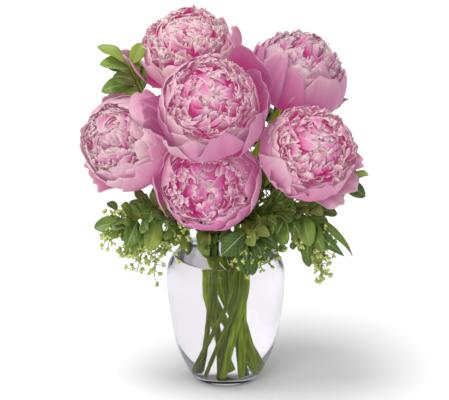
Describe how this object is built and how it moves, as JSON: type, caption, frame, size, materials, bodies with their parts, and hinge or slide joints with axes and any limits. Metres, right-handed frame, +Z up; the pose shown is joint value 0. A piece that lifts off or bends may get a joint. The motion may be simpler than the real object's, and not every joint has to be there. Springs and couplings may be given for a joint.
{
  "type": "peonies in a vase",
  "caption": "Cut double peonies with seeded eucalyptus and leaf sprigs, standing in water in a clear glass vase with a round belly, short neck and flared lip.",
  "frame": {"origin": "centre of the vase's foot, on the surface it stands on", "axes": "+Z up along the vase's axis; the bouquet faces -Y; +X is to the right of a viewer it faces"},
  "size_m": [0.2998, 0.2208, 0.3936],
  "materials": {
    "glass": "clear polished glass",
    "water": "clear still water",
    "petal": "soft satin petal, deep pink at the base and pale at the edge",
    "heart": "packed ruffled petals, deep pink in the folds",
    "calyx": "matt green sepals",
    "stem": "smooth fresh green stem",
    "leaf_light": "light green leaf with a pale midrib",
    "leaf_dark": "dark green waxy leaf",
    "leaf_grey_green": "grey-green eucalyptus leaf and yellow-green seeds"
  },
  "bodies": {
    "root": {"vase": "glass", "water": "water", "peony_top_left_heart": "heart", "peony_top_left_petal_a": "petal", "peony_top_left_petal_b": "petal", "peony_top_left_petal_c": "petal", "peony_top_left_petal_d": "petal", "peony_top_left_calyx": "calyx", "peony_top_left_stem": "stem", "peony_top_right_heart": "heart", "peony_top_right_petal_a": "petal", "peony_top_right_petal_b": "petal", "peony_top_right_petal_c": "petal", "peony_top_right_petal_d": "petal", "peony_top_right_calyx": "calyx", "peony_top_right_stem": "stem", "peony_centre_heart": "heart", "peony_centre_petal_a": "petal", "peony_centre_petal_b": "petal", "peony_centre_petal_c": "petal", "peony_centre_petal_d": "petal", "peony_centre_calyx": "calyx", "peony_centre_stem": "stem", "peony_left_heart": "heart", "peony_left_petal_a": "petal", "peony_left_petal_b": "petal", "peony_left_petal_c": "petal", "peony_left_petal_d": "petal", "peony_left_calyx": "calyx", "peony_left_stem": "stem", "peony_low_heart": "heart", "peony_low_petal_a": "petal", "peony_low_petal_b": "petal", "peony_low_petal_c": "petal", "peony_low_petal_d": "petal", "peony_low_calyx": "calyx", "peony_low_stem": "stem", "peony_right_heart": "heart", "peony_right_petal_a": "petal", "peony_right_petal_b": "petal", "peony_right_petal_c": "petal", "peony_right_petal_d": "petal", "peony_right_calyx": "calyx", "peony_right_stem": "stem", "upper_left_leaves": "leaf_light", "lower_left_eucalyptus": "leaf_grey_green", "lower_right_eucalyptus": "leaf_grey_green", "right_leaves": "leaf_dark", "front_leaves": "leaf_dark", "back_left_leaves": "leaf_dark", "back_right_leaves": "leaf_dark"}
  },
  "joints": []
}
